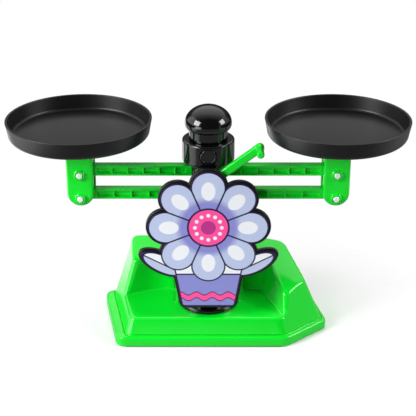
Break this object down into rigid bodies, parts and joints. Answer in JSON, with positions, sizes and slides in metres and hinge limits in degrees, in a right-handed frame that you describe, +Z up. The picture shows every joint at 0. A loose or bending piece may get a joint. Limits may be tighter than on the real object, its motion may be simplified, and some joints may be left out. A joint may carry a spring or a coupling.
{
  "type": "toy balance scale",
  "caption": "Tabletop toy balance with round pans on a parallelogram of ribbed beams, a black column, a moulded base, a lock lever and a flat flower plaque.",
  "frame": {"origin": "on the table under the column's axis, at the middle of the part's box", "axes": "+X along the beams to the right pan, +Y to the back, +Z up"},
  "size_m": [0.3462, 0.125, 0.2146],
  "materials": {
    "green_plastic": "gloss",
    "gloss_black": "gloss",
    "satin_black": "satin",
    "bare_steel": "satin",
    "printed_card": "satin",
    "pad_rubber": "matte"
  },
  "bodies": {
    "base": {"base_body": "green_plastic", "base_cover": "green_plastic", "foot_pad_front_left": "pad_rubber", "foot_pad_front_right": "pad_rubber", "foot_pad_back_right": "pad_rubber", "foot_pad_back_left": "pad_rubber", "cover_screw_front_left": "bare_steel", "cover_screw_front_right": "bare_steel", "cover_screw_back_right": "bare_steel", "cover_screw_back_left": "bare_steel", "column": "gloss_black", "column_screw_1": "bare_steel", "column_screw_2": "bare_steel", "column_screw_3": "bare_steel", "shoulder_plug": "gloss_black", "column_cap": "gloss_black", "upper_fulcrum_pin": "bare_steel", "lower_fulcrum_pin": "bare_steel", "plaque_backing": "satin_black", "plaque_card": "printed_card"},
    "upper_beam": {"upper_beam": "green_plastic"},
    "lower_beam": {"lower_beam": "green_plastic"},
    "left_carrier": {"left_post": "green_plastic", "left_upper_pin": "bare_steel", "left_lower_pin": "bare_steel", "left_pan": "satin_black"},
    "right_carrier": {"right_post": "green_plastic", "right_upper_pin": "bare_steel", "right_lower_pin": "bare_steel", "right_pan": "satin_black"},
    "lever": {"lock_lever": "green_plastic", "lever_shaft": "bare_steel", "brake_cam": "gloss_black"}
  },
  "joints": [
    {"name": "beam_tilt", "type": "hinge", "parent": "base", "child": "upper_beam", "pos_m": [0, 0, 0.158], "axis": [0, 1, 0], "range_deg": [-7, 7]},
    {"name": "lower_beam_tilt", "type": "hinge", "parent": "base", "child": "lower_beam", "pos_m": [0, 0, 0.136], "axis": [0, 1, 0], "range_deg": [-7, 7]},
    {"name": "left_carrier_pivot", "type": "hinge", "parent": "upper_beam", "child": "left_carrier", "pos_m": [-0.1106, 0, 0.156], "axis": [0, 1, 0], "range_deg": [-7, 7]},
    {"name": "right_carrier_pivot", "type": "hinge", "parent": "upper_beam", "child": "right_carrier", "pos_m": [0.1106, 0, 0.156], "axis": [0, 1, 0], "range_deg": [-7, 7]},
    {"name": "lever_swing", "type": "hinge", "parent": "base", "child": "lever", "pos_m": [0, 0, 0.14638], "axis": [0, 1, 0], "range_deg": [0, 37]}
  ],
  "couplings": [
    {"joint": "lower_beam_tilt", "follows": "beam_tilt", "ratio": 1},
    {"joint": "left_carrier_pivot", "follows": "beam_tilt", "ratio": -1},
    {"joint": "right_carrier_pivot", "follows": "beam_tilt", "ratio": -1}
  ]
}
